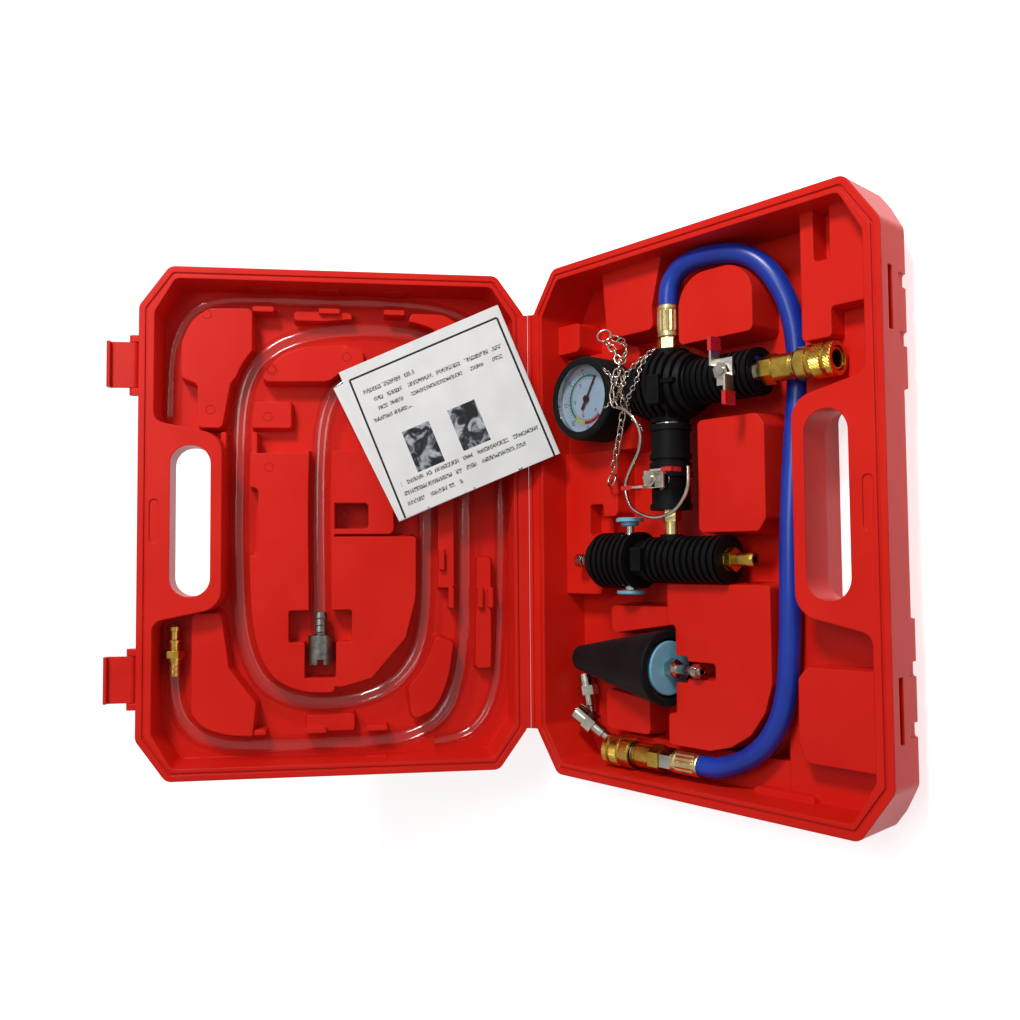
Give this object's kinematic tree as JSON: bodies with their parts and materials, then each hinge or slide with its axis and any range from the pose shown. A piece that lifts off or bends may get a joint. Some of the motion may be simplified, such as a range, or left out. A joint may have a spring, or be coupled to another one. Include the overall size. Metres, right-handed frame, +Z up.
{
  "type": "coolant vacuum refill kit",
  "caption": "Open hinged carrying case holding a vacuum gauge and valve unit, supply hose, rubber cone plug, adapters, clear hoses and leaflet for refilling a cooling system.",
  "frame": {"origin": "middle of the underside of the base half, on the surface it stands on", "axes": "+Z up, +X along the hinge, +Y from the handle side to the hinge side"},
  "size_m": [0.38, 0.4758, 0.3121],
  "materials": {
    "case_red": "satin",
    "latch_red": "satin",
    "steel_pin": "satin",
    "clear_hose": "gloss",
    "brass": "polished",
    "paper": "matte",
    "black_rubber": "matte",
    "gauge_steel": "polished",
    "dial_white": "satin",
    "lens": "gloss",
    "needle_black": "satin",
    "aluminium_core": "satin",
    "nickel": "satin",
    "white_metal": "satin",
    "grip_red": "satin",
    "light_blue": "satin",
    "hose_blue": "satin",
    "spring_steel": "satin",
    "strainer_steel": "satin"
  },
  "bodies": {
    "base": {"base_shell": "case_red", "living_hinge": "case_red"},
    "lid": {"lid_shell": "case_red", "latch_pins": "steel_pin"},
    "latch_a": {"latch_upper": "latch_red"},
    "latch_b": {"latch_lower": "latch_red"},
    "hose_a": {"clear_hose_small": "clear_hose"},
    "hose_b": {"clear_hose_large": "clear_hose", "plug_fitting": "brass", "strainer_barb": "strainer_steel", "strainer_cup": "strainer_steel"},
    "booklet": {"leaflet": "paper"},
    "valve_a": {"valve_right_ball": "nickel", "valve_right_handle": "white_metal", "valve_right_grips": "grip_red", "valve_right_nut": "nickel"},
    "valve_b": {"valve_lower_ball": "nickel", "valve_lower_handle": "white_metal", "valve_lower_grips": "grip_red", "valve_lower_nut": "nickel"},
    "spool_body": {"spool": "nickel", "spool_knobs": "light_blue"},
    "sleeve_a": {"coupler_right_sleeve": "brass"},
    "sleeve_b": {"coupler_lower_sleeve": "brass"},
    "needle": {"gauge_needle": "needle_black"},
    "cone": {"rubber_cone": "black_rubber", "cone_disc": "light_blue", "cone_nipple": "nickel"},
    "adapter_a": {"adapter_small": "nickel"},
    "adapter_b": {"adapter_large": "nickel"},
    "unit": {"gauge_boot": "black_rubber", "gauge_case": "gauge_steel", "gauge_dial": "dial_white", "gauge_lens": "lens", "bourdon_tube": "brass", "gauge_movement": "brass", "gauge_stem": "brass", "manifold_core": "aluminium_core", "manifold_cover_top": "black_rubber", "manifold_cover_bottom": "black_rubber", "branch_nipple": "brass", "valve_right_body": "nickel", "valve_lower_body": "nickel", "valve_lower_cover_top": "black_rubber", "valve_lower_cover_bottom": "black_rubber", "venturi_core": "aluminium_core", "venturi_cover_top": "black_rubber", "venturi_cover_bottom": "black_rubber", "air_nipple": "nickel", "tail_barb": "brass", "hose_nut": "nickel", "hose_ferrules": "brass", "blue_hose": "hose_blue", "swivel_nut": "nickel", "coupler_right_body": "brass", "coupler_right_spring": "spring_steel", "coupler_lower_body": "brass", "coupler_lower_spring": "spring_steel", "safety_chain": "nickel", "snap_hook": "nickel"}
  },
  "joints": [
    {"name": "lid_hinge", "type": "hinge", "parent": "base", "child": "lid", "pos_m": [0, 0.1485, 0.04815], "axis": [1, 0, 0], "range_deg": [-57.1, 122.9]},
    {"name": "latch_upper_turn", "type": "hinge", "parent": "lid", "child": "latch_a", "pos_m": [0.116, 0.31662, 0.293], "axis": [1, 0, 0], "range_deg": [0, 90]},
    {"name": "latch_lower_turn", "type": "hinge", "parent": "lid", "child": "latch_b", "pos_m": [-0.116, 0.31662, 0.293], "axis": [1, 0, 0], "range_deg": [0, 90]},
    {"name": "leaflet_settle", "type": "hinge", "parent": "hose_b", "child": "booklet", "pos_m": [0, -0.01422, 0.36043], "axis": [1, 0, 0], "range_deg": [-5.35, 11.51]},
    {"name": "small_hose_lift", "type": "slide", "parent": "lid", "child": "hose_a", "axis": [0, 0.8396, -0.5432], "range_m": [-0.018, 0]},
    {"name": "large_hose_lift", "type": "slide", "parent": "lid", "child": "hose_b", "axis": [0, 0.8396, -0.5432], "range_m": [-0.06, 0]},
    {"name": "unit_lift", "type": "slide", "parent": "base", "child": "unit", "axis": [0, 0, -1], "range_m": [-0.09, 0]},
    {"name": "right_valve_turn", "type": "hinge", "parent": "unit", "child": "valve_a", "pos_m": [0.0875, -0.0384, 0.033], "axis": [0, 0, 1], "range_deg": [0, 90]},
    {"name": "lower_valve_turn", "type": "hinge", "parent": "unit", "child": "valve_b", "pos_m": [0.023, 0.0216, 0.033], "axis": [0, 0, 1], "range_deg": [0, 90]},
    {"name": "spool_push", "type": "slide", "parent": "unit", "child": "spool_body", "axis": [1, 0, 0], "range_m": [-0.006, 0]},
    {"name": "right_sleeve_pull", "type": "slide", "parent": "unit", "child": "sleeve_a", "axis": [0, -1, 0], "range_m": [-0.004, 0], "stiffness_N_per_m": 900, "springref_m": 0.003, "deforming": ["coupler_right_spring"]},
    {"name": "lower_sleeve_pull", "type": "slide", "parent": "unit", "child": "sleeve_b", "axis": [0, 1, 0], "range_m": [-0.004, 0], "stiffness_N_per_m": 900, "springref_m": 0.003, "deforming": ["coupler_lower_spring"]},
    {"name": "needle_turn", "type": "hinge", "parent": "unit", "child": "needle", "pos_m": [0.0875, 0.0926, 0.042], "axis": [0, 0, 1], "range_deg": [0, 255]},
    {"name": "cone_lift", "type": "slide", "parent": "base", "child": "cone", "axis": [0, 0, -1], "range_m": [-0.09, 0]},
    {"name": "small_adapter_lift", "type": "slide", "parent": "base", "child": "adapter_a", "axis": [0, 0, -1], "range_m": [-0.06, 0]},
    {"name": "large_adapter_lift", "type": "slide", "parent": "adapter_a", "child": "adapter_b", "axis": [0, 0, -1], "range_m": [-0.06, 0]}
  ],
  "couplings": [
    {"joint": "leaflet_settle", "follows": "lid_hinge", "ratio": 0.093572}
  ]
}
